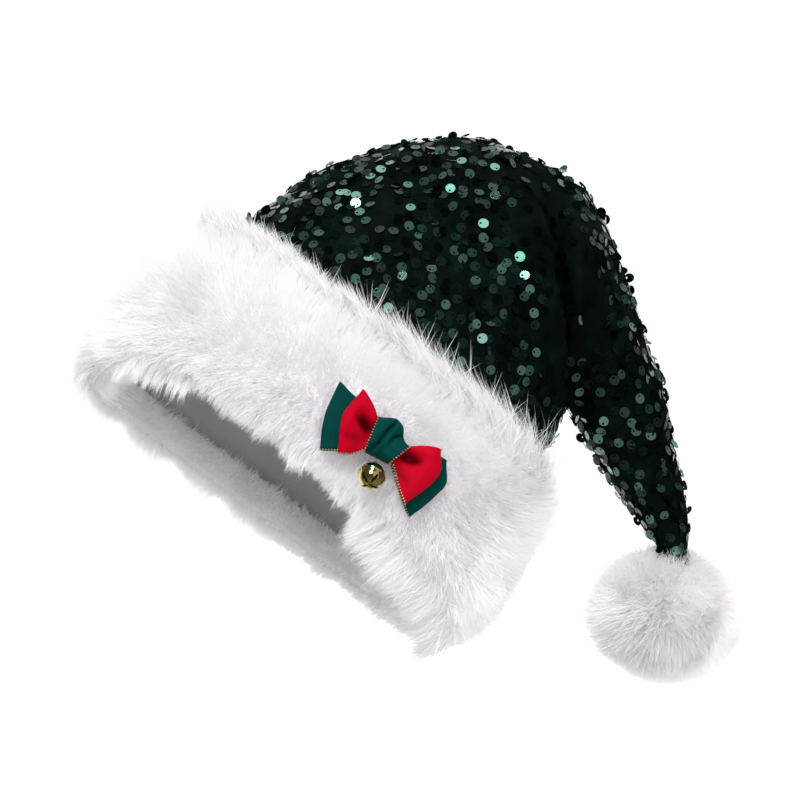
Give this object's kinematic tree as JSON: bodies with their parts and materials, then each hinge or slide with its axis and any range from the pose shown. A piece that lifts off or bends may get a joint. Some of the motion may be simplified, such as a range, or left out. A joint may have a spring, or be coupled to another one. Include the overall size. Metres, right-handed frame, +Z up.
{
  "type": "santa hat",
  "caption": "Santa hat of dark green sequinned cloth with a folded, hanging tail, deep white plush band, ribbon bow with a small bell, and plush pompom.",
  "frame": {"origin": "middle of the opening that the head goes into, at the rim", "axes": "+Z up as the hat is worn, so the tail hangs along -Z; +X to the right of someone who faces the bow, the side that the tail falls to; +Y from the bow's side to the back. The hat's own axis is tilted 35 degrees towards +X and leans 13.5 degrees towards +Y"},
  "size_m": [0.3657, 0.2132, 0.2891],
  "materials": {
    "crown_cloth": "dark green sequins on dark net and velvet",
    "lining_cloth": "plain grey-white woven lining",
    "plush": "deep soft white plush",
    "green_ribbon": "satin ribbon with gold edge thread",
    "red_ribbon": "satin ribbon with gold edge thread",
    "bell_metal": "polished gold plate"
  },
  "bodies": {
    "root": {"crown": "crown_cloth", "lining": "lining_cloth", "plush_band": "plush", "pompom": "plush", "bow_green_ribbon": "green_ribbon", "bow_red_ribbon": "red_ribbon", "bow_knot": "green_ribbon", "bell": "bell_metal", "bell_pellet": "bell_metal"}
  },
  "joints": []
}
